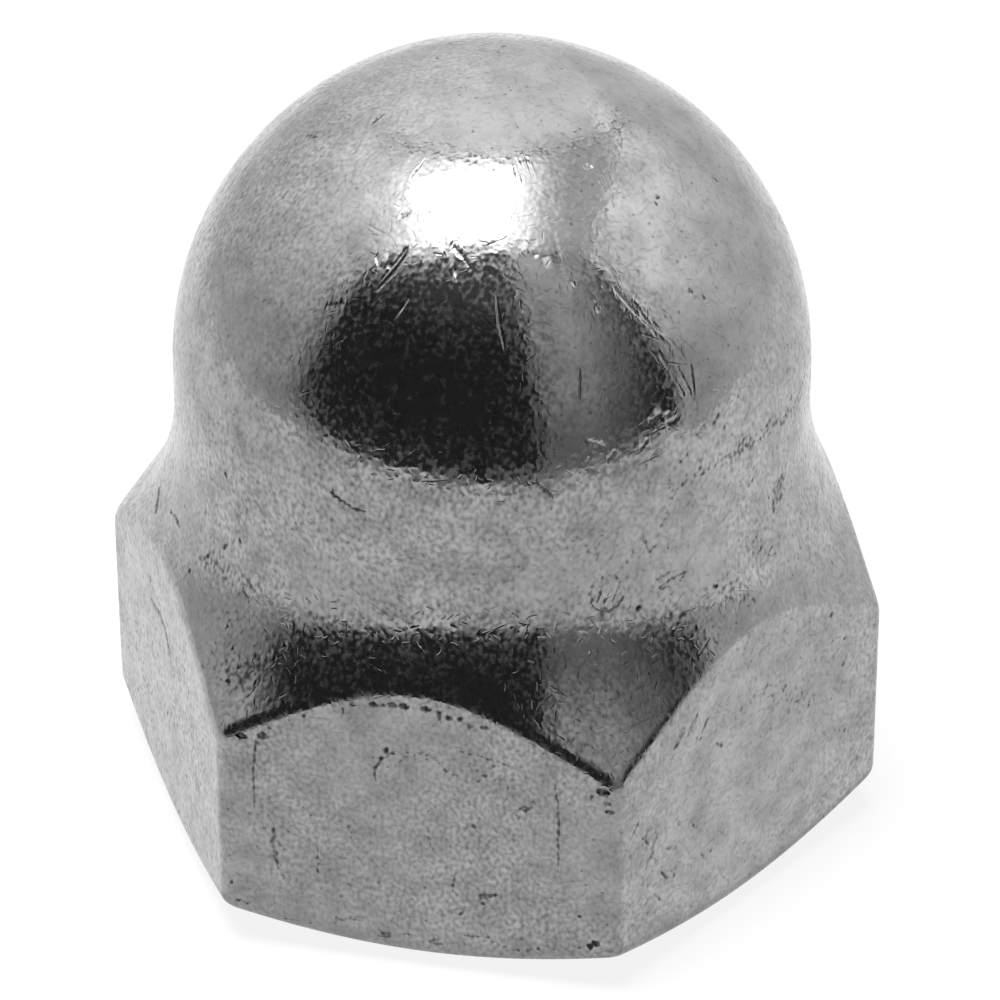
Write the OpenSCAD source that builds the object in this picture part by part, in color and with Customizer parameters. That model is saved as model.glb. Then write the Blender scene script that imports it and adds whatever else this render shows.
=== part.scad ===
// High domed cap nut: a hexagon whose flats run up into a round dome over a blind threaded bore.
// Millimetres. The origin is the centre of the bearing face, +Z runs up through the dome,
// and two of the hexagon's upright edges lie on the X axis.

/* [Hexagon] */
// distance between opposite flats, the spanner size
across_flats = 12.8; // [12.4:0.05:13.4]
// rounding radius of the six upright edges
edge_round = 0.3; // [0.1:0.05:0.8]
// height at which the shoulder meets the upright edges before they are rounded
edge_height = 4.75; // [4:0.05:5.2]

/* [Dome] */
// height from the bearing face to the crown
total_height = 15.25; // [15:0.05:15.8]
// diameter of the upright wall and of the half ball that crowns it
dome_diameter = 11.7; // [11.4:0.05:12]
// radius of the hollow shoulder that sweeps from the hexagon up to the wall
shoulder_sweep = 5.75; // [3:0.25:6]

/* [Bearing face] */
// outer diameter of the flat bearing face
bearing_diameter = 11.5; // [10.6:0.1:12]
// rise of the chamfer under the hexagon, in degrees from level
chamfer_angle = 26; // [15:1:32]

/* [Threaded bore] */
// diameter of the bore's wall, which is the crest diameter of the thread
thread_crest_diameter = 6.7; // [6.65:0.05:6.9]
// depth of the full bore, from the bearing face to the start of its pointed end
bore_depth = 11; // [9:0.1:11.4]
// included angle of the bore's pointed end
point_angle = 118; // [110:2:130]
// diameter of the lead-in at the mouth
mouth_diameter = 8.6; // [8:0.1:9]
// included angle of the lead-in
mouth_angle = 90; // [80:5:120]

/* [Hidden] */
$fn = 96;

// hexagon
hex_sides = 6;
sector = 360 / hex_sides;
flat_r = across_flats / 2;
corner_r = flat_r / cos(sector / 2);
// each rounding meets its two flats at this shallow angle, in degrees
meet_angle = 6;
flat_reach = edge_round * cos(meet_angle);
round_at = (flat_r - flat_reach) / cos(sector / 2);
trim_from = round_at + flat_reach * cos(sector / 2);

// the turned blank reaches this far past the corners, and the hexagon trims it away
trim_spare = 0.5;
blank_r = corner_r + trim_spare;

// bearing face and its chamfer, run out to the blank's edge
bearing_r = bearing_diameter / 2;
chamfer_top = (blank_r - bearing_r) * tan(chamfer_angle);

// crown, wall and the hollow shoulder, which leaves the wall on a tangent
dome_r = dome_diameter / 2;
dome_z = total_height - dome_r;
shoulder_width = corner_r - dome_r;
shoulder_rise = sqrt(2 * shoulder_sweep * shoulder_width - pow(shoulder_width, 2));
wall_foot = edge_height + shoulder_rise;

// bore
crest_r = thread_crest_diameter / 2;
mouth_r = mouth_diameter / 2;
mouth_depth = (mouth_r - crest_r) / tan(mouth_angle / 2);
point_height = crest_r / tan(point_angle / 2);
// the bore's cutter starts this far below the bearing face
below = 1;

// half section of the outside, from the axis outwards
module outside_section() {
    difference() {
        polygon([
            [0, 0], [bearing_r, 0], [blank_r, chamfer_top],
            [blank_r, wall_foot], [dome_r, wall_foot], [dome_r, dome_z], [0, dome_z]
        ]);
        translate([dome_r + shoulder_sweep, wall_foot]) circle(shoulder_sweep);
    }
    intersection() {
        translate([0, dome_z]) circle(dome_r);
        translate([0, dome_z]) square(dome_r);
    }
}

// hexagon with its corners trimmed to arcs
module hexagon_section() {
    difference() {
        circle(corner_r, $fn = hex_sides);
        for (i = [0 : hex_sides - 1])
            rotate(i * sector)
                difference() {
                    translate([trim_from, -flat_r]) square(across_flats);
                    translate([round_at, 0]) circle(edge_round);
                }
    }
}

// half section of the blind bore with its lead-in and pointed end
module bore_section() {
    polygon([
        [0, -below], [mouth_r, -below], [mouth_r, 0], [crest_r, mouth_depth],
        [crest_r, bore_depth], [0, bore_depth + point_height]
    ]);
}

module cap_nut() {
    color("#b4b4b1")
    difference() {
        intersection() {
            rotate_extrude() outside_section();
            linear_extrude(total_height) hexagon_section();
        }
        rotate_extrude() bore_section();
    }
}

cap_nut();
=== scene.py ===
"""A cap nut in tumbled steel, standing on its bearing face under a soft studio tent."""
import math
from functools import partial

import bpy
import numpy as np
from mathutils import Matrix, Vector, noise


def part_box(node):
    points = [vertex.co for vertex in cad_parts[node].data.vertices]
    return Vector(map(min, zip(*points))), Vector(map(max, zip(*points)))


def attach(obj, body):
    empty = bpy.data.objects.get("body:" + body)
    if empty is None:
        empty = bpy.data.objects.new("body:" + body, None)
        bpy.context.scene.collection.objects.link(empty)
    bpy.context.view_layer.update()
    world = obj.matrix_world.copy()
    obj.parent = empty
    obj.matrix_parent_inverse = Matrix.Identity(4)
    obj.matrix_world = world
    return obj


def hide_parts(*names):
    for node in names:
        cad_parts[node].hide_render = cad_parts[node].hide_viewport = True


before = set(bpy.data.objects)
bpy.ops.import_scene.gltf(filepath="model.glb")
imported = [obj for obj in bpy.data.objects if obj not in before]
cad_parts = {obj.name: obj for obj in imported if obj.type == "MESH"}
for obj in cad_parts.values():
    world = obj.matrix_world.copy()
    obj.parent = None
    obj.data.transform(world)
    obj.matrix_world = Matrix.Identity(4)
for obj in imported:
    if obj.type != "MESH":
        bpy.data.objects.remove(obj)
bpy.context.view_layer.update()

MM = 0.001
NUT = "cap_nut"
CAMERA_TURN = 12.33      # degrees round the nut from its front flat, to the right

# sizes of the nut, in millimetres as all sizes here, as its solid has them
flat_r = 6.4             # axis to the middle of a flat
corner_round = 0.32      # rounding of the six upright edges, just inside the solid's 0.3
edge_height = 4.75       # where the shoulder would meet a sharp upright edge
dome_r = 5.85
dome_z = 9.4             # where the half ball starts
sweep = 5.75             # radius of the hollow shoulder
bearing_r = 5.75         # where the bearing face ends
chamfer = math.radians(26)
mouth_r = 4.3
bore_depth = 11.0
point_angle = math.radians(118)
sharp_corner = flat_r / math.cos(math.pi / 6)
shoulder_width = sharp_corner - dome_r
wall_foot = edge_height + math.sqrt(2 * sweep * shoulder_width - shoulder_width ** 2)

# the M8 thread
crest_r = 3.35           # thread crests, nearest the axis
root_r = 4.0
pitch = 1.25
flank_angle = math.radians(30)
thread_end = 8.7         # last full turn, with a run-out above it
runout = 1.1

# edges that the solid has sharp, rolled by the tumbling
top_roll = 0.75          # radius, flat to shoulder
bottom_roll = 0.45       # radius, flat to chamfer
foot_roll = 0.08         # how far the chamfer's lower edge is rolled to each side

# the mesh
COLUMNS = 432            # points round the outside
BORE_COLUMNS = 96        # points round one turn of the thread
inner_ring_r = 4.55      # innermost ring of the bearing face, bridged to the bore's mouth


# ---------------------------------------------------------------- by hand

def pick_nothing():
    if bpy.context.object and bpy.context.object.mode != 'OBJECT':
        bpy.ops.object.mode_set(mode='OBJECT')
    bpy.ops.object.select_all(action='DESELECT')


def pick(obj):
    pick_nothing()
    obj.select_set(True)
    bpy.context.view_layer.objects.active = obj


def points_of(obj):
    """The points of a piece, in millimetres."""
    co = np.empty(len(obj.data.vertices) * 3)
    obj.data.vertices.foreach_get("co", co)
    return co.reshape(-1, 3) / MM


def place_points(obj, co):
    obj.data.vertices.foreach_set("co", (co * MM).ravel())
    obj.data.update()


def edit_where(obj, chosen):
    """Opens a piece for editing with only the chosen points selected."""
    pick(obj)
    mesh = obj.data
    mesh.vertices.foreach_set("select", chosen)
    ends = np.empty(len(mesh.edges) * 2, int)
    mesh.edges.foreach_get("vertices", ends)
    mesh.edges.foreach_set("select", chosen[ends].reshape(-1, 2).all(1))
    mesh.polygons.foreach_set("select", np.zeros(len(mesh.polygons), bool))
    bpy.ops.object.mode_set(mode='EDIT')
    bpy.ops.mesh.select_mode(type='VERT')


def extrude(x, z):
    """Extrudes what is selected, outwards by x and up by z millimetres."""
    bpy.ops.mesh.extrude_region_move(TRANSFORM_OT_translate={"value": (x * MM, 0, z * MM)})


def smooth_step(value, low, high):
    t = np.clip((value - low) / (high - low), 0, 1)
    return t * t * (3 - 2 * t)


# ---------------------------------------------------------------- outside

def column_angles():
    """Angles of the columns, closer together at the six upright edges, at 0, 60, 120 degrees and so on."""
    crowding = 0.68      # 0 spaces them evenly, and at 1 they would meet at the edges
    even = np.arange(COLUMNS) * 2 * np.pi / COLUMNS
    return even - crowding / 6 * np.sin(6 * even)


def hexagon_reach(angle):
    """Axis to the side of the hexagon at this angle, its upright edges rounded."""
    off_corner = np.abs((angle + np.pi / 6) % (np.pi / 3) - np.pi / 6)
    off_flat = np.pi / 6 - off_corner
    centre = (flat_r - corner_round) / math.cos(np.pi / 6)
    side = centre * np.sin(off_corner)
    on_round = centre * np.cos(off_corner) + np.sqrt(np.maximum(corner_round ** 2 - side ** 2, 0))
    return np.where(flat_r * np.tan(off_flat) > centre / 2, on_round, flat_r / np.cos(off_flat))


def outside_rings(angle):
    """Every ring from the bearing face to near the top of the dome: how far from the axis each of its points
    lies, and how high."""
    reach = hexagon_reach(angle)
    same = np.ones_like(reach)
    rings = []

    def line(a, b, count, first=0):
        for t in np.arange(first, count + 1) / count:
            rings.append((a[0] * (1 - t) + b[0] * t, a[1] * (1 - t) + b[1] * t))

    def roll(a, corner, b, count):
        for t in np.arange(1, count) / count:
            rings.append(tuple(p * (1 - t) ** 2 + 2 * q * t * (1 - t) + s * t * t
                               for p, q, s in zip(a, corner, b)))

    def on_hollow(slope):
        return centre_r - sweep * np.cos(slope), centre_z - sweep * np.sin(slope)

    # bearing face, and its edge rolled into the chamfer
    foot_in = ((bearing_r - foot_roll) * same, 0 * same)
    foot_out = ((bearing_r + foot_roll * math.cos(chamfer)) * same, foot_roll * math.sin(chamfer) * same)
    line((inner_ring_r * same, 0 * same), foot_in, 3)
    roll(foot_in, (bearing_r * same, 0 * same), foot_out, 4)
    # chamfer rolled into the flats
    low = (reach, (reach - bearing_r) * math.tan(chamfer))
    back = bottom_roll * math.tan((math.pi / 2 - chamfer) / 2)
    low_in = (low[0] - back * math.cos(chamfer), low[1] - back * math.sin(chamfer))
    low_out = (low[0], low[1] + back)
    line(foot_out, low_in, 5)
    roll(low_in, low, low_out, 7)
    # flats rolled into the hollow shoulder, which leans in from upright by this much where they meet
    centre_r, centre_z = dome_r + sweep, wall_foot
    lean = np.arccos((centre_r - reach) / sweep)
    high = (reach, centre_z - sweep * np.sin(lean))
    back = top_roll * np.tan(lean / 2)
    high_in = (high[0], high[1] - back)
    start = lean - back / sweep
    line(low_out, high_in, 24)
    roll(high_in, high, on_hollow(start), 9)
    for share in np.linspace(1, 0, 20):
        rings.append(on_hollow(start * share))
    # wall and dome
    line((dome_r * same, wall_foot * same), (dome_r * same, dome_z * same), 5, first=1)
    for rise in np.linspace(0, math.pi / 2, 39)[1:-1]:
        rings.append((dome_r * math.cos(rise) * same, (dome_z + dome_r * math.sin(rise)) * same))
    return rings


def model_outside():
    """A ring drawn up from the bearing face, extrusion by extrusion, and closed at the top of the dome."""
    angle = column_angles()
    rings = outside_rings(angle)
    heights = [z[0] for _, z in rings]
    pick_nothing()
    bpy.ops.mesh.primitive_circle_add(vertices=COLUMNS, radius=inner_ring_r * MM, location=(0, 0, 0))
    nut = bpy.context.object
    bpy.ops.object.mode_set(mode='EDIT')
    bpy.ops.mesh.select_mode(type='EDGE')
    bpy.ops.mesh.select_all(action='SELECT')
    for below, above in zip(heights, heights[1:]):
        extrude(0, above - below)
    extrude(0, 0)
    bpy.ops.mesh.merge(type='CENTER')
    bpy.ops.object.mode_set(mode='OBJECT')
    co = points_of(nut)
    for k, (r, z) in enumerate(rings):       # each ring is drawn in to the hexagon, the shoulder or the dome
        co[k * COLUMNS:(k + 1) * COLUMNS] = np.stack([r * np.cos(angle), r * np.sin(angle), z], 1)
    co[-1] = (0, 0, dome_z + dome_r)
    place_points(nut, co)
    return nut


# ---------------------------------------------------------------- thread

def model_bore():
    """One tooth of the thread, screwed up the bore and faded into the mouth and the plain drilled bore."""
    flank = (root_r - crest_r) * math.tan(flank_angle)
    root_flat = pitch / 8
    crest_flat = pitch - 2 * flank - root_flat
    root_stop = crest_flat + flank + root_flat
    quarters = (0.25, 0.5, 0.75, 1)
    tooth = [(crest_r, 0), (crest_r, crest_flat / 2), (crest_r, crest_flat)]
    tooth += [(crest_r + (root_r - crest_r) * t, crest_flat + flank * t) for t in quarters]
    tooth += [(root_r, root_stop)]
    tooth += [(root_r + (crest_r - root_r) * t, root_stop + flank * t) for t in quarters]
    start = -pitch - 0.1     # the first turn lies below the mouth, and is flattened into it
    turns = 9                # enough to pass the run-out
    pick_nothing()
    bpy.ops.mesh.primitive_plane_add(size=0.1 * MM, location=(crest_r * MM, 0, start * MM))
    bore = bpy.context.object
    bpy.ops.object.mode_set(mode='EDIT')
    bpy.ops.mesh.select_mode(type='VERT')
    bpy.ops.mesh.select_all(action='SELECT')
    bpy.ops.mesh.merge(type='CENTER')
    for (r0, z0), (r1, z1) in zip(tooth, tooth[1:]):
        extrude(r1 - r0, z1 - z0)
    bpy.ops.object.mode_set(mode='OBJECT')
    bpy.ops.object.transform_apply(location=True, rotation=True, scale=True)
    screw = bore.modifiers.new("turns", 'SCREW')
    screw.axis, screw.angle, screw.screw_offset, screw.iterations = 'Z', 2 * math.pi, pitch * MM, turns
    screw.steps = screw.render_steps = BORE_COLUMNS
    bpy.ops.object.modifier_apply(modifier=screw.name)

    co = points_of(bore)
    r, turn, z = np.hypot(co[:, 0], co[:, 1]), np.arctan2(co[:, 1], co[:, 0]), co[:, 2]
    top = thread_end + runout
    fade_from = thread_end - 0.3
    r = crest_r + (r - crest_r) * (1 - smooth_step(z, fade_from, top))
    r = np.where(z >= top, crest_r, np.maximum(r, mouth_r - np.maximum(z, 0)))     # countersunk mouth
    z = np.clip(z, 0, top)
    place_points(bore, np.stack([r * np.cos(turn), r * np.sin(turn), z], 1))
    bpy.ops.object.mode_set(mode='EDIT')
    bpy.ops.mesh.select_all(action='SELECT')
    bpy.ops.mesh.remove_doubles(threshold=0.0005 * MM)       # welds the turns together
    bpy.ops.object.mode_set(mode='OBJECT')
    # plain bore above the thread, and the drill's point
    edit_where(bore, points_of(bore)[:, 2] > top - 0.001)
    extrude(0, bore_depth - top)
    extrude(0, crest_r / math.tan(point_angle / 2))
    bpy.ops.mesh.merge(type='CENTER')
    bpy.ops.object.mode_set(mode='OBJECT')
    return bore


def model_nut():
    """Outside and bore joined across the bearing face into one closed skin."""
    nut, bore = model_outside(), model_bore()
    pick(nut)
    bore.select_set(True)
    bpy.ops.object.join()
    co = points_of(nut)
    on_face = co[:, 2] < 0.0001
    edit_where(nut, on_face & (np.hypot(co[:, 0], co[:, 1]) < inner_ring_r + 0.05))
    bpy.ops.mesh.bridge_edge_loops()
    bpy.ops.mesh.select_all(action='SELECT')
    bpy.ops.mesh.normals_make_consistent(inside=False)
    bpy.ops.object.mode_set(mode='OBJECT')
    nut.name = nut.data.name = "steel_cap_nut"
    bpy.ops.object.shade_smooth_by_angle(angle=math.radians(35))
    return nut


# ---------------------------------------------------------------- marks of use, and two smears of painted shade

def marks_of_use_and_painted_shade():
    """Every scratch, dent and smear: half its width, its depth, how dark it is, and its line of points. Two
    of the smears, on the shoulder, are painted shade rather than dirt. Each point has a turn, in degrees from
    the middle of the front flat to the right, and a height. Sizes and heights are in millimetres."""
    found = []

    def mark(half_width, depth, dirt_and_shade, *line):
        found.append((half_width, depth, dirt_and_shade, line))

    def spots(half_width, depth, dirt_and_shade, *places):
        for place in places:
            mark(half_width, depth, dirt_and_shade, place)

    def strokes(half_width, depth, dirt_and_shade, start, stop, *places):
        """The same short stroke at several places, from one step off each place to another."""
        for turn, height in places:
            mark(half_width, depth, dirt_and_shade, (turn + start[0], height + start[1]),
                 (turn + stop[0], height + stop[1]))

    def blots(half_width, depth, dirt_and_shade, *places):
        strokes(half_width, depth, dirt_and_shade, (-6 * half_width, 0), (6 * half_width, -0.02), *places)

    def ring(half_width, depth, dirt_and_shade, turn, height, wide, high):
        around = [math.radians(a) for a in range(0, 361, 30)]
        line = [(turn + wide * math.cos(a), height + high * math.sin(a)) for a in around]
        mark(half_width, depth, dirt_and_shade, *line)

    # nicks that hang under the upper edge of the front flat
    blots(0.085, 0.012, 0.95, (-7.0, 5.95), (-4.0, 6.0), (-2.0, 6.0), (1.5, 6.0), (-27.0, 4.85))
    blots(0.100, 0.012, 0.85, (-24.0, 4.9))
    spots(0.075, 0.012, 0.92, (3.5, 5.95), (5.0, 5.85), (7.0, 5.85))
    blots(0.060, 0.012, 0.80, (8.5, 5.75), (11.0, 5.75), (-10.5, 5.9))
    spots(0.050, 0.010, 0.85, (-18.0, 5.5), (-12.0, 5.75), (5.5, 5.85), (-23.0, 5.1), (-25.0, 4.75),
          (10.5, 5.75), (-5.5, 5.95), (3.5, 5.85))
    # hook, and the scatter that runs on from it, in the upper half of the front flat
    mark(0.035, 0.012, 0.8, (-7.0, 4.2), (-7.0, 4.5), (-6.0, 4.7), (-5.0, 4.8), (-4.0, 4.95))
    spots(0.055, 0.018, 1.0, (-5.0, 4.95), (-4.0, 4.9), (-6.0, 4.75))
    spots(0.035, 0.010, 0.8, (-3.0, 4.7), (-2.0, 4.85), (-0.5, 4.9), (0.5, 4.95), (1.5, 4.85), (3.0, 4.85),
          (4.5, 4.65), (6.0, 4.6))
    mark(0.022, 0.008, 0.6, (-2.0, 4.95), (1.0, 5.0), (3.5, 4.8), (6.0, 4.55))
    mark(0.022, 0.008, 0.7, (5.5, 5.2), (9.0, 5.1), (11.5, 5.05), (15.0, 4.95))
    spots(0.040, 0.012, 0.8, (11.0, 4.65), (12.5, 4.9), (13.5, 4.7), (12.5, 4.6), (14.5, 4.45), (10.0, 4.5))
    mark(0.070, 0.018, 0.8, (16.5, 4.0), (18.0, 4.05))
    spots(0.045, 0.012, 0.7, (18.5, 4.2), (16.0, 3.8), (9.0, 3.45), (-7.0, 3.4), (8.0, 3.6))
    # knocks where the front flat comes to a point, right
    blots(0.100, 0.020, 0.92, (28.0, 4.65))
    blots(0.060, 0.012, 0.80, (28.5, 4.4), (29.0, 4.2))
    spots(0.050, 0.016, 0.9, (28.0, 4.65), (28.5, 4.55), (28.5, 4.2), (26.5, 4.5))
    # scratches and gouges across its lower half
    mark(0.030, 0.008, 0.70, (-25.0, 4.8), (-25.5, 4.1), (-25.5, 3.25))
    mark(0.030, 0.008, 0.70, (21.5, 4.65), (22.0, 4.2), (22.0, 3.3), (22.0, 2.65))
    mark(0.020, 0.006, 0.6, (19.5, 3.0), (21.5, 3.0))
    mark(0.050, 0.014, 0.72, (-23.0, 2.8), (-23.0, 2.4), (-22.5, 1.9))
    mark(0.030, 0.008, 0.5, (-24.5, 2.8), (-23.0, 2.75))
    mark(0.030, 0.008, 0.45, (-22.5, 2.5), (-21.5, 2.35))
    mark(0.030, 0.008, 0.5, (-22.5, 1.9), (-21.5, 1.65))
    mark(0.030, 0.010, 0.6, (6.0, 2.3), (5.5, 1.95))
    mark(0.030, 0.008, 0.5, (-11.5, 3.15), (-11.0, 2.7))
    mark(0.030, 0.008, 0.5, (-16.5, 2.5), (-16.5, 1.85))
    mark(0.020, 0.006, 0.5, (1.5, 3.4), (2.0, 2.8))
    mark(0.070, 0.018, 0.8, (10.0, 1.85), (12.0, 1.9))
    spots(0.045, 0.014, 0.9, (10.5, 1.7), (12.5, 1.95), (7.0, 1.4), (-28.0, 1.0), (-27.0, 0.95),
          (-29.0, 1.4), (25.0, 1.7))
    spots(0.070, 0.020, 1.0, (27.0, 1.1), (26.5, 1.05))
    spots(0.045, 0.014, 0.8, (14.0, 0.75), (17.5, 0.75), (19.0, 0.8), (21.5, 0.85), (16.0, 0.7),
          (25.0, 0.95))
    for left, right, height in ((-22.0, -19.5, 0.7), (-13.5, -9.5, 0.9), (-3.0, 0.0, 0.75),
                                (7.0, 12.5, 0.9), (-7.0, -5.0, 0.6), (0.5, 4.0, 0.6)):
        mark(0.022, 0.008, 0.7, (left, height), (right, height))

    # right flat: strokes by the front edge, and a rubbed patch under its crown
    mark(0.040, 0.012, 0.8, (39.5, 2.6), (41.0, 2.5))
    strokes(0.032, 0.010, 0.55, (0, 0.15), (1.4, -0.12),
            (34.5, 3.1), (36.5, 2.5), (38.5, 2.0), (37.0, 1.6), (40.5, 1.9), (43.5, 2.2), (45.0, 2.7),
            (41.5, 3.0), (47.5, 1.8))
    strokes(0.040, 0.012, 0.60, (-0.6, -0.16), (0.8, 0.14),
            (33.0, 3.55), (35.0, 3.2), (37.0, 2.95), (36.0, 2.65), (41.5, 4.9), (42.5, 5.0), (44.5, 5.0),
            (45.5, 5.1), (48.0, 4.85))
    spots(0.045, 0.012, 0.8, (43.0, 5.0), (52.0, 4.15), (57.0, 4.6), (82.0, 4.6), (82.0, 4.0), (79.0, 5.4),
          (83.0, 2.4), (47.0, 4.6))
    spots(0.035, 0.009, 0.7, (59.5, 4.8), (62.0, 4.6), (63.5, 4.75), (66.0, 4.35), (68.0, 4.5), (71.0, 3.9),
          (74.0, 3.6), (65.0, 3.7), (76.0, 2.9), (50.0, 1.8))
    mark(0.020, 0.006, 0.5, (76.5, 5.4), (81.0, 5.3))
    mark(0.45, 0.0, 0.26, (60.0, 4.7), (67.0, 4.4), (74.0, 3.8))
    # left flat: a bent scratch, and spots beside it
    mark(0.080, 0.020, 0.62, (-68.0, 4.6), (-62.5, 4.7), (-59.5, 4.6), (-56.5, 4.2))
    mark(0.030, 0.010, 0.6, (-69.5, 5.05), (-66.0, 5.0), (-62.0, 4.95))
    mark(1.20, 0.0, 0.18, (-68.0, 3.2), (-52.0, 3.0))
    spots(0.045, 0.012, 0.7, (-52.0, 3.3), (-60.0, 2.6), (-47.5, 4.6), (-49.0, 2.0), (-66.0, 3.4),
          (-54.0, 1.4))

    # shoulder
    mark(0.085, 0.020, 0.75, (-73.5, 6.7), (-71.0, 6.6), (-69.5, 6.45))
    mark(0.050, 0.016, 0.65, (-63.0, 6.95), (-60.0, 7.05), (-57.5, 7.0))
    spots(0.050, 0.014, 0.9, (-42.0, 7.55), (-42.5, 9.05), (-38.0, 7.9), (-50.0, 6.6), (-46.0, 7.1))
    ring(0.028, 0.008, 0.6, -34.0, 7.1, 1.4, 0.13)
    mark(0.55, 0.0, 0.45, (-36.0, 5.7), (-30.0, 5.75), (-24.0, 6.1))
    mark(0.40, 0.0, 0.40, (-26.0, 6.4), (-20.0, 6.4))
    mark(0.40, 0.0, 0.26, (-38.0, 6.4), (-33.0, 6.4))
    mark(0.32, 0.0, 0.60, (-29.0, 5.9), (-24.5, 6.3))
    mark(0.30, 0.0, 0.31, (-50.0, 6.95), (-42.0, 7.1), (-28.0, 7.3))
    # painted shade, not dirt: these two smears darken the shoulder along the lower edge of the pale band it
    # mirrors, laid alike on either side of the camera's turn
    mark(0.16, 0.0, 0.60, (-25.0, 7.0), (-20.0, 7.15), (-12.0, 7.3))
    mark(0.16, 0.0, 0.60, (39.0, 7.2), (44.0, 7.15), (48.0, 7.0))
    spots(0.040, 0.010, 0.9, (-34.0, 6.0), (-31.5, 5.8), (-29.0, 6.1), (-27.5, 5.7), (-32.5, 5.5),
          (-25.5, 6.2), (-36.5, 6.3), (-24.0, 6.5))
    ring(0.040, 0.012, 0.40, 32.5, 8.0, 3.2, 0.34)
    strokes(0.045, 0.010, 0.45, (-0.7, -0.18), (1.0, 0.2), (31.0, 8.0), (32.5, 8.0), (34.0, 8.0))
    ring(0.030, 0.010, 0.45, 44.5, 7.9, 3.3, 0.14)
    mark(0.030, 0.010, 0.7, (42.5, 7.8), (45.0, 7.9), (48.0, 7.9))
    mark(0.040, 0.010, 0.6, (39.5, 9.05), (40.0, 8.75), (40.5, 8.6), (42.0, 8.7))
    spots(0.045, 0.014, 1.0, (44.5, 8.55), (54.0, 7.35), (38.0, 7.55))
    mark(0.34, 0.0, 0.42, (53.5, 7.4), (58.0, 7.0), (62.0, 6.75))
    mark(0.22, 0.0, 0.25, (37.0, 8.6), (41.5, 8.6))
    ring(0.030, 0.010, 0.5, 65.5, 7.6, 1.4, 0.16)
    ring(0.025, 0.008, 0.45, 70.0, 7.25, 1.6, 0.08)

    # wall: the belt where something rubbed round it, and a rough patch lower down
    for turn, height, long in ((56.5, 9.9, 3.4), (60.5, 9.85, 4.0), (64.5, 9.9, 3.0), (68.5, 9.8, 4.2),
                               (73.0, 9.8, 3.4), (77.5, 9.75, 4.0), (82.0, 9.7, 4.4), (86.5, 9.8, 4.0),
                               (62.0, 10.0, 2.0), (70.5, 9.95, 2.4), (75.5, 9.65, 2.6), (80.0, 9.9, 2.4),
                               (52.0, 9.85, 3.0)):
        mark(0.045, 0.010, 0.62, (turn - long / 2, height - 0.03), (turn + long / 2, height + 0.04))
    mark(0.22, 0.0, 0.40, (43.0, 9.05), (45.0, 9.55), (47.5, 9.85), (51.0, 9.95), (59.0, 9.9), (71.5, 9.8),
         (82.0, 9.65), (89.5, 9.45))
    mark(0.34, 0.0, 0.75, (71.5, 8.05), (74.0, 8.25), (76.5, 8.4))
    mark(0.060, 0.010, 0.50, (64.0, 8.95), (66.0, 9.05))
    spots(0.040, 0.012, 0.9, (70.5, 8.3), (72.5, 8.5), (74.0, 8.25), (76.0, 8.4), (72.0, 8.1))
    mark(0.035, 0.012, 1.0, (-17.0, 9.9), (-15.0, 9.8), (-12.5, 9.7), (-10.0, 9.7))
    mark(0.028, 0.010, 0.8, (20.0, 10.55), (21.5, 10.35), (23.0, 10.2))
    strokes(0.030, 0.010, 0.7, (-0.9, -0.06), (0.9, 0.06),
            (56.5, 10.75), (58.0, 10.5), (52.5, 10.7), (64.0, 10.45), (40.5, 10.85), (42.0, 10.6),
            (48.0, 10.3), (34.0, 10.8))
    mark(0.50, 0.0, 0.20, (26.0, 9.2), (33.0, 8.9), (40.0, 8.6))

    # dome: strokes that cross the edge of what it mirrors
    mark(0.036, 0.016, 0.75, (-10.5, 13.85), (-12.5, 13.6), (-15.0, 13.35))
    mark(0.028, 0.012, 0.0, (-11.5, 13.85), (-15.0, 13.45))
    mark(0.036, 0.011, 0.8, (1.0, 14.05), (4.0, 13.95), (7.0, 13.8))
    mark(0.030, 0.016, 0.0, (-18.5, 13.75), (-17.0, 13.65), (-15.0, 13.65), (-12.5, 13.7))
    mark(0.028, 0.016, 0.0, (-7.0, 13.35), (-8.0, 13.2), (-9.5, 13.0))
    mark(0.030, 0.016, 0.0, (13.5, 13.45), (14.0, 13.1), (15.0, 12.75))
    mark(0.026, 0.014, 0.0, (8.5, 12.7), (12.0, 12.75))
    mark(0.060, 0.016, 0.0, (29.5, 11.15), (31.5, 11.05), (33.0, 10.95))
    spots(0.045, 0.022, 0.0, (32.5, 13.5), (36.5, 13.1), (3.0, 13.75))
    mark(0.030, 0.012, 0.7, (22.5, 13.95), (26.0, 13.9), (31.5, 13.85))
    mark(0.030, 0.010, 0.7, (-26.0, 12.9), (-23.5, 13.0), (-21.5, 13.05))
    ring(0.032, 0.016, 0.0, -5.5, 11.8, 2.2, 0.24)
    mark(0.026, 0.008, 0.2, (30.0, 12.3), (29.0, 11.85))
    mark(0.055, 0.024, 0.9, (45.5, 11.05), (47.5, 11.05))
    mark(0.035, 0.018, 0.0, (42.0, 11.2), (44.0, 11.25), (46.5, 11.2))
    for start, stop in (((43.3, 13.1), (47.8, 12.5)), ((45.8, 12.9), (49.8, 12.2)),
                        ((47.8, 12.7), (52.3, 12.05)), ((47.3, 12.2), (50.3, 11.4)),
                        ((50.3, 11.9), (51.8, 11.4)), ((41.8, 13.3), (44.8, 12.9))):
        mark(0.024, 0.011, 0.15, start, stop)
    mark(0.030, 0.010, 0.7, (53.5, 11.85), (52.5, 11.35))
    spots(0.045, 0.012, 0.9, (68.0, 14.05), (66.0, 14.0), (62.5, 12.65), (60.0, 12.85), (92.0, 13.6))
    mark(0.055, 0.010, 0.75, (-16.5, 14.25), (-14.0, 14.3))
    mark(0.030, 0.012, 0.40, (-20.0, 14.65), (-19.0, 14.75))
    spots(0.040, 0.010, 0.85, (23.0, 14.8), (26.5, 14.85), (30.0, 14.85), (23.0, 14.75), (25.0, 14.7))
    spots(0.055, 0.020, 0.0, (52.5, 14.65), (54.5, 14.65))
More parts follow.
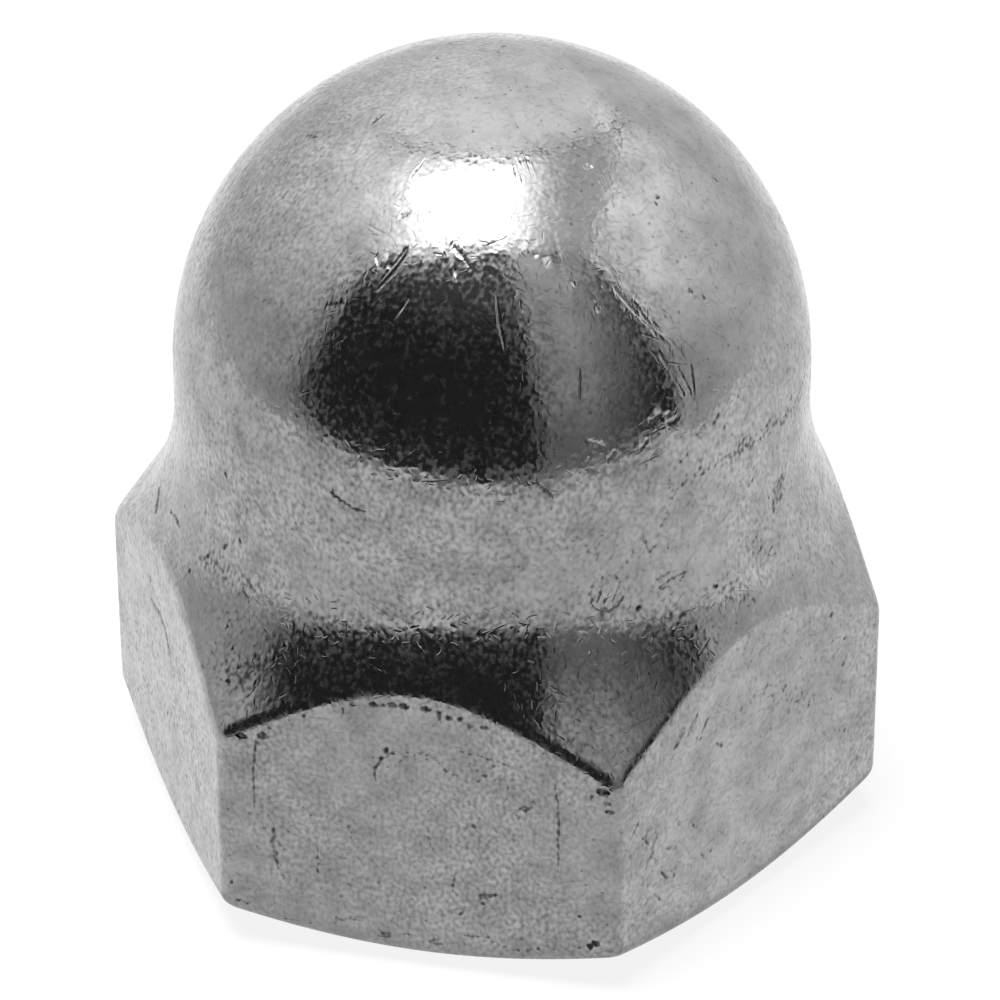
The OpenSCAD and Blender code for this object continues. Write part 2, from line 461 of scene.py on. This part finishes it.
    # smears near the top
    mark(0.060, 0.008, 0.45, (-62.0, 14.9), (-58.0, 14.8))
    mark(0.040, 0.008, 0.55, (-73.5, 14.25), (-69.5, 14.35))
    mark(0.050, 0.006, 0.50, (204.0, 14.9), (214.0, 14.9))
    mark(0.050, 0.006, 0.45, (186.0, 15.15), (183.0, 15.05))
    mark(0.050, 0.006, 0.45, (238.0, 15.1), (232.0, 15.05))
    return found


def on_skin(turn, height):
    """The point of the plain outside at this turn from the middle of the front flat, and this height."""
    angle = math.radians(turn - 90)
    if height > dome_z:
        r = math.sqrt(max(dome_r ** 2 - (height - dome_z) ** 2, 0))
    else:
        r = dome_r + sweep - math.sqrt(max(sweep ** 2 - max(wall_foot - height, 0) ** 2, 0))
    reach = float(hexagon_reach(np.array([angle]))[0])
    # on the edge that is rolled from the chamfer to the flat, the skin lies a little nearer the axis
    rolled = bottom_roll * math.tan((math.pi / 2 - chamfer) / 2)
    sunk = math.sin(chamfer)
    rise = (height - (reach - bearing_r) * math.tan(chamfer)) / rolled
    if -sunk < rise < 1:
        along = (math.sqrt(sunk + (1 - sunk) * rise) - sunk) / (1 - sunk)
        reach -= rolled * math.cos(chamfer) * (1 - along) ** 2
    r = min(r, reach, bearing_r + height / math.tan(chamfer))
    return np.array((r * math.cos(angle), r * math.sin(angle), height))


def nearest(co, line):
    """How far each point is from a line of points, and where along the line it comes nearest, from 0 to 1."""
    if len(line) == 1:
        return np.linalg.norm(co - line[0], axis=1), np.full(len(co), 0.5)
    best, along = np.full(len(co), np.inf), np.zeros(len(co))
    lengths = [np.linalg.norm(b - a) for a, b in zip(line, line[1:])]
    walked = 0
    for a, b, length in zip(line, line[1:], lengths):
        t = np.clip((co - a) @ (b - a) / length ** 2, 0, 1)
        far = np.linalg.norm(co - a - t[:, None] * (b - a), axis=1)
        closer = far < best
        best[closer] = far[closer]
        along[closer] = (walked + t[closer] * length) / sum(lengths)
        walked += length
    return best, along


def back_to_form(co):
    """Points added by cutting faces up, moved out to the true dome, wall and hollow shoulder."""
    round_sag, hollow_sag = 0.02, 0.006      # how far off the true form such a point may lie
    r, turn = np.hypot(co[:, 0], co[:, 1]), np.arctan2(co[:, 1], co[:, 0])
    z = co[:, 2].copy()
    hollow_r = dome_r + sweep
    ball = np.hypot(r, z - dome_z)
    dome = (z > dome_z) & (np.abs(ball - dome_r) < round_sag)
    wall = (z >= wall_foot) & (z <= dome_z) & (np.abs(r - dome_r) < round_sag)
    hollow = np.hypot(r - dome_r - sweep, z - wall_foot)
    lean = np.arccos((hollow_r - hexagon_reach(turn)) / sweep)
    rolled = wall_foot - sweep * np.sin(lean - top_roll * np.tan(lean / 2) / sweep)
    shoulder = (z < wall_foot) & (z > rolled) & (np.abs(hollow - sweep) < hollow_sag)
    r[wall] = dome_r
    for where, far, centre_r, centre_z, radius in ((dome, ball, 0, dome_z, dome_r),
                                                   (shoulder, hollow, hollow_r, wall_foot, sweep)):
        k = radius / far[where]
        r[where], z[where] = centre_r + (r[where] - centre_r) * k, centre_z + (z[where] - centre_z) * k
    return np.stack([r * np.cos(turn), r * np.sin(turn), z], 1)


def press_marks(nut):
    """Cuts up the faces under each scratch and dent, presses it in with a slight burr, and keeps how dark
    each mark is: dirt, and on two shoulder smears painted shade.
    """
    window = 4               # a mark changes nothing farther than this from its first point, along any axis
    cut_margin = 0.07        # faces this near a groove and its burr are cut up too
    # in half widths from the middle of the mark: its burr, the end of its darkening, which is dirt but on two
    # shoulder smears painted shade, and how far it is worked out
    burr_at, burr_wide, dirt_and_shade_ends, influence = 1.3, 0.3, 1.2, 2.2
    burr_high = 0.18         # as a share of the mark's depth
    marks = [(w, depth, dirt_and_shade, [on_skin(*place) for place in line]) for w, depth, dirt_and_shade, line in marks_of_use_and_painted_shade()]
    middle = np.empty(len(nut.data.polygons) * 3)
    nut.data.polygons.foreach_get("center", middle)
    middle = middle.reshape(-1, 3) / MM
    chosen = np.zeros(len(middle), bool)
    for half_width, depth, dirt_and_shade, line in marks:
        if depth:
            about = np.flatnonzero(np.abs(middle - line[0]).max(1) < window)
            chosen[about[nearest(middle[about], line)[0] < burr_at * half_width + cut_margin]] = True
    pick(nut)
    nut.data.vertices.foreach_set("select", np.zeros(len(nut.data.vertices), bool))
    nut.data.edges.foreach_set("select", np.zeros(len(nut.data.edges), bool))
    nut.data.polygons.foreach_set("select", chosen)
    bpy.ops.object.mode_set(mode='EDIT')
    bpy.ops.mesh.select_mode(type='FACE')
    bpy.ops.mesh.subdivide(number_cuts=4)
    bpy.ops.object.mode_set(mode='OBJECT')

    co = back_to_form(points_of(nut))
    place_points(nut, co)
    out = np.empty(len(co) * 3)
    nut.data.vertices.foreach_get("normal", out)
    out = out.reshape(-1, 3)
    press, grime_and_shade = np.zeros(len(co)), np.zeros(len(co))
    for half_width, depth, dirt_and_shade, line in marks:
        is_spot = len(line) == 1
        about = np.flatnonzero(np.abs(co - line[0]).max(1) < window)
        far, along = nearest(co[about], line)
        near = far < influence * half_width
        about, far, along = about[near], far[near], along[near]
        # spots are the most ragged, and clean strokes the least; strokes grow thin towards their ends
        waves = 0.45 / max(half_width, 0.04)
        ragged = np.array([noise.noise(Vector(p) * waves) for p in co[about]])
        raggedness = 0.9 if is_spot else 0.4 if dirt_and_shade else 0.1
        taper = 1 if is_spot else 0.45 + 0.55 * np.sqrt(np.sin(np.pi * np.clip(along, 0.02, 0.98)))
        reach = far / half_width / taper * (1 + raggedness * ragged)
        groove = np.clip(1 - reach ** 2, 0, 1) ** 2
        burr = np.exp(-((reach - burr_at) / burr_wide) ** 2)
        np.minimum.at(press, about, -depth * groove)
        press[about] += burr_high * depth * burr
        soft = 0.6 if depth else 1.4     # smears have no depth, and fade out slowly
        # how dark the mark leaves each point: dirt, and on two shoulder smears painted shade
        np.maximum.at(grime_and_shade, about, dirt_and_shade * (1 - smooth_step(reach, dirt_and_shade_ends - soft, dirt_and_shade_ends)))
    # no burr stands out of the nut's own box
    low, high = (np.array(corner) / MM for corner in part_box(NUT))
    place_points(nut, np.clip(co + out * press[:, None], low, high))
    layer = nut.data.attributes.new("grime_and_shade", 'FLOAT', 'POINT')     # the finish reads from it the dirt, and the painted shade of two shoulder smears
    layer.data.foreach_set("value", grime_and_shade)


# ---------------------------------------------------------------- finish

# input and output sockets of a Mix node that share a name: of plain values, and of colours
VALUE_A, VALUE_B = 2, 3
COLOUR_A, COLOUR_B, COLOUR_OUT = 6, 7, 2


def add_node(tree, kind, inputs=(), output=0, **settings):
    """Adds a shader node with its settings, sets or links its inputs, and gives one of its outputs."""
    node = tree.nodes.new("ShaderNode" + kind)
    for name, value in settings.items():
        setattr(node, name, value)
    for name, value in (inputs.items() if isinstance(inputs, dict) else enumerate(inputs)):
        if isinstance(value, bpy.types.NodeSocket):
            tree.links.new(value, node.inputs[name])
        else:
            node.inputs[name].default_value = value
    return node.outputs[output]


def linear(hex_colour):
    """An sRGB hex colour as linear red, green, blue and full alpha."""
    parts = [int(hex_colour[i:i + 2], 16) / 255 for i in (1, 3, 5)]
    return [c / 12.92 if c <= 0.04045 else ((c + 0.055) / 1.055) ** 2.4 for c in parts] + [1.0]


def nicks(add, place, cell, width, length, share, pit=0.0):
    """Short grooves and small pits, one in a cell of this size, each groove lying its own way. Gives how far
    in a groove a point is, from 0 to 1, the way that its side leans there, and how far in a pit it is."""
    centre = add('TexVoronoi', {"Vector": place, "Scale": 1 / cell}, "Position")
    chance = centre.node.outputs["Color"]
    way = add('VectorMath', (chance, (0.5, 0.5, 0.5)), operation='SUBTRACT')
    way = add('VectorMath', (way,), operation='NORMALIZE')
    arm = add('VectorMath', (place, centre), operation='SUBTRACT')
    far = add('VectorMath', (arm,), "Value", operation='LENGTH')
    aside = add('VectorMath', (arm, way), "Value", operation='DOT_PRODUCT')
    draw = add('SeparateColor', (chance,), "Blue")
    has_groove = add('Math', (draw, share), operation='LESS_THAN')
    off_line = add('Math', (aside,), operation='ABSOLUTE')
    groove = add('MapRange', {"Value": off_line, "From Min": 0.0, "From Max": width,
                              "To Min": has_groove, "To Max": 0.0})
    groove = add('MapRange', {"Value": far, "From Min": length * 0.25, "From Max": length * 0.5,
                              "To Min": groove, "To Max": 0.0})
    lean = add('VectorMath', {0: way, "Scale": add('Math', (aside, groove), operation='MULTIPLY')},
               operation='SCALE')
    if not pit:
        return groove, lean, None
    has_pit = add('Math', (draw, 0.88), operation='GREATER_THAN')
    hole = add('MapRange', {"Value": far, "From Min": pit * 0.3, "From Max": pit,
                            "To Min": has_pit, "To Max": 0.0})
    return groove, lean, hole


def tumbled_steel():
    """Bright steel, turned and pressed, then tumbled with stone chips: a soft mirror, grained all over by
    fine peening, with short nicks that break up each reflection's edge, and a few dark pits."""
    mat = bpy.data.materials.new("tumbled_steel")
    mat.use_nodes = True
    tree = mat.node_tree
    steel = tree.nodes["Principled BSDF"]
    add = partial(add_node, tree)
    # all sizes below are in millimetres
    place = add('Mapping', {"Vector": add('TexCoord', (), "Object"), "Scale": (1 / MM,) * 3})
    upright = add('VectorMath', (place, (1, 1, 0.75)), operation='MULTIPLY')

    # 1.9 mm swells left by the press
    swell = add('TexNoise', {"Vector": place, "Scale": 1 / 1.9, "Detail": 0.0}, "Fac")
    # 0.19 mm marks of the tumbling chips
    chips = add('TexNoise', {"Vector": place, "Scale": 1 / 0.19, "Detail": 1.0, "Roughness": 0.55}, "Fac")
    # 0.08 mm grain, drawn out upright
    speck = add('TexNoise', {"Vector": upright, "Scale": 1 / 0.078, "Detail": 0.0}, "Fac")
    # 0.7 mm clouds
    cloud = add('TexNoise', {"Vector": place, "Scale": 1 / 0.7, "Detail": 2.0, "Roughness": 0.6}, "Fac")
    # 2.4 mm patches where the chips rubbed harder
    worn = add('TexNoise', {"Vector": place, "Scale": 1 / 2.4, "Detail": 0.0}, "Fac")
    # nicks, slightly bent, in cells of 0.15 and 0.5 mm
    stir = add('CombineXYZ', (chips, speck, cloud))
    bent = add('VectorMath', (stir, (0.10, 0.04, 0.12), place), operation='MULTIPLY_ADD')
    fine, fine_lean, pits = nicks(add, bent, cell=0.15, width=0.024, length=0.21, share=0.62, pit=0.040)
    long, long_lean, _ = nicks(add, bent, cell=0.50, width=0.027, length=0.60, share=0.45)

    # the peened skin, its heights in millimetres
    height = add('Math', (swell, 0.016), operation='MULTIPLY')
    for layer, lift in ((chips, 0.0070), (speck, 0.0015)):
        height = add('Math', (layer, lift, height), operation='MULTIPLY_ADD')
    peened = add('Bump', {"Strength": 1.0, "Distance": MM, "Height": height}, "Normal")

    # how steep the sides of the nicks are: most in the hollow shoulder, less on dome, crown and flats
    on_flats, on_dome, on_crown = -8.0, -13.0, -5.2
    up = add('SeparateXYZ', (place,), "Z")
    facing = add('SeparateXYZ', (add('NewGeometry', (), "Normal"),), "Z")
    hollow = add('MapRange', {"Value": up, "From Min": 6.1, "From Max": 6.6, "To Min": 0.33, "To Max": 1.0})
    facing = add('Math', (facing, hollow), operation='MULTIPLY')
    above = add('MapRange', {"Value": up, "From Min": 14.2, "From Max": 14.7,
                             "To Min": on_dome, "To Max": on_crown})
    for lean, in_hollow in ((fine_lean, -26.0), (long_lean, -13.0)):
        below = add('MapRange', {"Value": facing, "From Min": 0.0, "From Max": 0.15,
                                 "To Min": on_flats, "To Max": in_hollow})
        steep = add('MapRange', {"Value": up, "From Min": 8.0, "From Max": 9.5,
                                 "To Min": below, "To Max": above})
        steep = add('CombineXYZ', (steep, steep, steep))
        peened = add('VectorMath', (lean, steep, peened), operation='MULTIPLY_ADD')
    tree.links.new(add('VectorMath', (peened,), operation='NORMALIZE'), steel.inputs["Normal"])

    # colour: pale steel with a fine grain, which is fainter where it was rubbed smoother
    grain = add('MapRange', {"Value": speck, "From Min": 0.20, "From Max": 0.75})
    plain = add('MapRange', {"Value": worn, "From Min": 0.35, "From Max": 0.65,
                             "To Min": 0.55, "To Max": 0.0})
    # three smooth places on the right: the middle, the radii where it starts and ends to fade, and how smooth
    for middle, near, far, most in (((3.0, -1.5, 14.5), 3.0, 6.0, 0.85),
                                    ((4.6, -3.7, 8.0), 0.5, 1.2, 0.85),
                                    ((5.5, -3.2, 3.3), 2.0, 4.5, 0.80)):
        away = add('VectorMath', (place, middle), "Value", operation='DISTANCE')
        rubbed = add('MapRange', {"Value": away, "From Min": near, "From Max": far,
                                  "To Min": most, "To Max": 0.0})
        plain = add('Math', (plain, rubbed), operation='MAXIMUM')
    grain = add('Mix', {"Factor": plain, VALUE_A: grain, VALUE_B: 0.55})
    colour = add('Mix', {"Factor": grain, COLOUR_A: linear("#AAAAAA"), COLOUR_B: linear("#E3E3E3")},
                 COLOUR_OUT, data_type='RGBA')
    grey = add('MapRange', {"Value": cloud, "From Min": 0.25, "From Max": 0.65,
                            "To Min": 0.60, "To Max": 0.0})
    colour = add('Mix', {"Factor": grey, COLOUR_A: colour, COLOUR_B: linear("#969696")},
                 COLOUR_OUT, data_type='RGBA')

    # dirt: in the nicks and pits, thinly in the low specks round the marks of use, and thickly in the marks;
    # on two smears of the shoulder what is laid on thickly is painted shade, not dirt
    soil_and_shade = add('Math', (add('Math', (fine, long), operation='MAXIMUM'), 0.22), operation='MULTIPLY')
    soil_and_shade = add('Math', (soil_and_shade, add('Math', (pits, 0.55), operation='MULTIPLY')), operation='MAXIMUM')
    grime_and_shade = add('Attribute', (), "Fac", attribute_name="grime_and_shade")
    thin = add('Math', (add('Math', (grime_and_shade, 0.45), operation='MINIMUM'), 0.47), operation='ADD')
    thin = add('Math', (cloud, -0.35, thin), operation='MULTIPLY_ADD')
    thin = add('Math', (speck, -1.2, thin), operation='MULTIPLY_ADD')
    thin = add('Math', (thin, 2.6), operation='MULTIPLY', use_clamp=True)
    soil_and_shade = add('Math', (soil_and_shade, add('Math', (thin, 0.75), operation='MULTIPLY')), operation='MAXIMUM')
    # thickly in the marks: dirt, and on two shoulder smears painted shade
    thick = add('Math', (speck, -0.6, add('Math', (grime_and_shade, 0.3), operation='ADD')), operation='MULTIPLY_ADD')
    thick = add('MapRange', {"Value": thick, "From Min": 0.3, "From Max": 1.0, "To Max": 0.95})
    soil_and_shade = add('Math', (soil_and_shade, thick), operation='MAXIMUM')
    colour = add('Mix', {"Factor": soil_and_shade, COLOUR_A: colour, COLOUR_B: linear("#2C2C2C")},
                 COLOUR_OUT, data_type='RGBA')
    tree.links.new(colour, steel.inputs["Base Color"])

    # gloss: a soft mirror, scuffed unevenly
    scuff = add('Math', (chips, 0.8, cloud), operation='MULTIPLY_ADD')
    scuff = add('Math', (speck, 1.5, scuff), operation='MULTIPLY_ADD')
    rough = add('MapRange', {"Value": scuff, "From Min": 1.25, "From Max": 2.0,
                             "To Min": 0.29, "To Max": 0.06})
    tree.links.new(rough, steel.inputs["Roughness"])
    steel.inputs["Metallic"].default_value = 1.0
    return mat


# ---------------------------------------------------------------- studio

def tone(grey):
    """A light whose reflection in this steel shows as this sRGB grey."""
    level = linear("#%02X%02X%02X" % (grey, grey, grey))[0] / linear("#C8C8C8")[0]
    return (level, level, level, 1)


def studio():
    """The tent round the nut: pale walls and floor, a glow round the lamp above, and a dark opening in front
    with a grey card in it."""
    world = bpy.data.worlds.new("studio")
    bpy.context.scene.world = world
    world.use_nodes = True
    world.cycles.sampling_method = 'NONE'      # even walls need no aim: the lamp is a light of its own
    tree = world.node_tree
    tree.nodes.clear()
    add = partial(add_node, tree)

    def lay(under, over, *edges):
        """One light laid over another, between soft edges: each is a measure of the direction, where the
        upper light starts, and where it is whole."""
        mask = None
        for value, start, whole in edges:
            edge = {"Value": value, "From Min": min(start, whole), "From Max": max(start, whole)}
            if start > whole:
                edge.update({"To Min": 1.0, "To Max": 0.0})
            if mask is not None:
                edge["To Max" if start < whole else "To Min"] = mask
            mask = add('MapRange', edge, "Result", interpolation_type='SMOOTHSTEP')
        return add('Mix', {"Factor": mask, COLOUR_A: under, COLOUR_B: over}, COLOUR_OUT, data_type='RGBA')

    def angle_of(a, b):
        return add('Math', (add('Math', (a, b), operation='ARCTAN2'),), operation='DEGREES')

    turned = add('Mapping', {"Vector": add('TexCoord', (), "Generated"),
                             "Rotation": (0, 0, -math.radians(CAMERA_TURN))})
    right, back, up = (add('SeparateXYZ', (turned,), name) for name in "XYZ")
    front = add('Math', (back, -1.0), operation='MULTIPLY')
    azimuth = angle_of(right, front)     # 0 in front, + to the right
    across = angle_of(right, up)         # off the zenith, to the right
    forward = angle_of(front, up)        # off the zenith, to the front
    level = angle_of(up, front)          # off the horizon, seen from the side

    def round_the_tent(*stops):
        """Tones round the tent, from behind on the left to behind on the right."""
        turn = add('Math', (azimuth, 1 / 360, 0.5), operation='MULTIPLY_ADD')
        shade = add('ValToRGB', (turn,))
        band = shade.node.color_ramp
        for angle, grey in stops[1:-1]:
            band.elements.new(angle / 360 + 0.5)
        for (angle, grey), stop in zip(stops, band.elements):
            stop.position = angle / 360 + 0.5
            stop.color = tone(grey)
        return shade

    low_walls = round_the_tent((-180, 180), (-140, 156), (-100, 136), (-72, 118), (68, 132), (86, 138),
                               (104, 156), (145, 162), (180, 176))
    high_walls = round_the_tent((-180, 200), (-120, 194), (-72, 156), (68, 180), (100, 200), (140, 186),
                                (180, 200))
    ground = round_the_tent((-180, 205), (-140, 178), (-90, 158), (0, 150), (50, 152), (90, 170),
                            (140, 170), (158, 186), (180, 205))
    ground = lay(ground, tone(140), (up, -0.60, -0.72))
    walls = lay(low_walls, high_walls, (up, 0.0, 0.8))
    tent = lay(ground, walls, (up, -0.22, -0.17))

    # the roof: a glow round the lamp, which goes on paler to the right of the flap
    tent = lay(tent, tone(228), (across, -46, -24), (across, 28, 6), (forward, -29.5, -14), (up, 0.4, 0.6))
    tent = lay(tent, tone(204), (across, 32, 34), (across, 72, 38), (forward, -75, -45), (up, 0.2, 0.5))
    tent = lay(tent, tone(252), (across, -36, -22), (across, 20, 8), (forward, -21, -13), (up, 0.4, 0.6))
    # a thin seam that bends behind the lamp, and the grey flap right of the lamp, which ends at the seam
    rim = add('Math', (add('Math', (across, across), operation='MULTIPLY'), 0.02, forward),
              operation='MULTIPLY_ADD')
    tent = lay(tent, tone(110), (rim, -20.5, -18.5), (rim, -15.5, -17), (across, -40, -26), (up, 0.2, 0.5))
    lean = add('Math', (forward, 0.09, across), operation='MULTIPLY_ADD')
    tent = lay(tent, tone(150), (across, 8, 26), (lean, 36, 34.5), (rim, -18.5, -16.5), (up, 0.2, 0.4))

    # the dark opening in front, and a grey card in its right half
    dark = lay(tone(27), tone(56), (up, 0.6, 0.88))
    card = lay(tone(84), tone(122), (up, -0.1, 0.5))
    card = lay(card, tone(152), (up, 0.5, 0.9))
    fade = add('Math', (up, -11.0, azimuth), operation='MULTIPLY_ADD')
    dark = lay(dark, card, (azimuth, 15.5, 18.5), (fade, 64, 29))
    tent = lay(tent, dark, (azimuth, -78, -65), (azimuth, 69.5, 65.5), (level, -15, -12.5), (level, 75, 68.5))

    # seen directly, and by the board, the tent is plain white
    ray = add('LightPath', (), "Is Camera Ray").node
    plain = add('Math', (ray.outputs["Is Camera Ray"], ray.outputs["Is Diffuse Ray"]), operation='MAXIMUM')
    white = (1, 1, 1, 1)
    shown = add('Mix', {"Factor": plain, COLOUR_A: tent, COLOUR_B: white}, COLOUR_OUT, data_type='RGBA')
    light = add('Background', {"Color": shown, "Strength": 1.0})
    tree.links.new(light, tree.nodes.new("ShaderNodeOutputWorld").inputs["Surface"])


def lamp():
    """The soft box over the nut: from 23 degrees left to 7 right of straight up, and from 13 behind it to
    16 before."""
    far, radiance = 0.5, 2.6
    low, high, back, near = (far * math.tan(math.radians(a)) for a in (-23, 7, -13, 16))
    pick_nothing()
    bpy.ops.object.light_add(type='AREA')
    box = bpy.context.object
    box.name = "soft_box"
    box.data.shape, box.data.size, box.data.size_y = 'RECTANGLE', high - low, near - back
    box.data.energy = radiance * math.pi * (high - low) * (near - back)
    turn = Matrix.Rotation(math.radians(CAMERA_TURN), 3, 'Z')
    box.location = turn @ Vector(((low + high) / 2, -(back + near) / 2, far))
    box.rotation_euler = turn.to_euler()


# ---------------------------------------------------------------- all together

def floor():
    """A matt white board a hair under the nut. The steel mirrors the tent's floor in place of it."""
    pick_nothing()
    bpy.ops.mesh.primitive_plane_add(size=1.2, location=(0, 0, -0.002 * MM))
    table = bpy.context.object
    table.name = "table"
    mat = bpy.data.materials.new("matt_white_board")
    mat.use_nodes = True
    board = mat.node_tree.nodes["Principled BSDF"]
    board.inputs["Base Color"].default_value = linear("#F2F2F2")
    board.inputs["Roughness"].default_value = 0.9
    board.inputs["Specular IOR Level"].default_value = 0.1
    table.data.materials.append(mat)
    table.visible_glossy = False


def add_camera():
    """Looks down on the nut from the front right, over its front flat, level but for a hair of roll."""
    elevation, azimuth, roll = math.radians(35.53), math.radians(CAMERA_TURN), math.radians(-0.23)
    distance = 115.17        # millimetres, from far off with a long lens
    aim = Vector((0.132, 0.029, 6.077)) * MM
    flat = math.cos(elevation)
    back = Vector((math.sin(azimuth) * flat, -math.cos(azimuth) * flat, math.sin(elevation)))
    turn = Matrix.Rotation(azimuth, 3, 'Z')
    tip = Matrix.Rotation(math.pi / 2 - elevation, 3, 'X')
    cam = bpy.data.objects.new("camera", bpy.data.cameras.new("camera"))
    bpy.context.collection.objects.link(cam)
    cam.location = aim + back * distance * MM
    cam.rotation_euler = (turn @ tip @ Matrix.Rotation(roll, 3, 'Z')).to_euler()
    cam.data.lens = 222.4
    cam.data.sensor_width = 36
    cam.data.clip_start = 0.005
    bpy.context.scene.camera = cam


nut = model_nut()
press_marks(nut)
nut.data.materials.append(tumbled_steel())
nut.visible_diffuse = False       # the board takes only the lamp's soft shadow
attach(nut, "root")
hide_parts(NUT)
studio()
lamp()
floor()
add_camera()
bpy.context.scene.view_settings.view_transform = 'Standard'
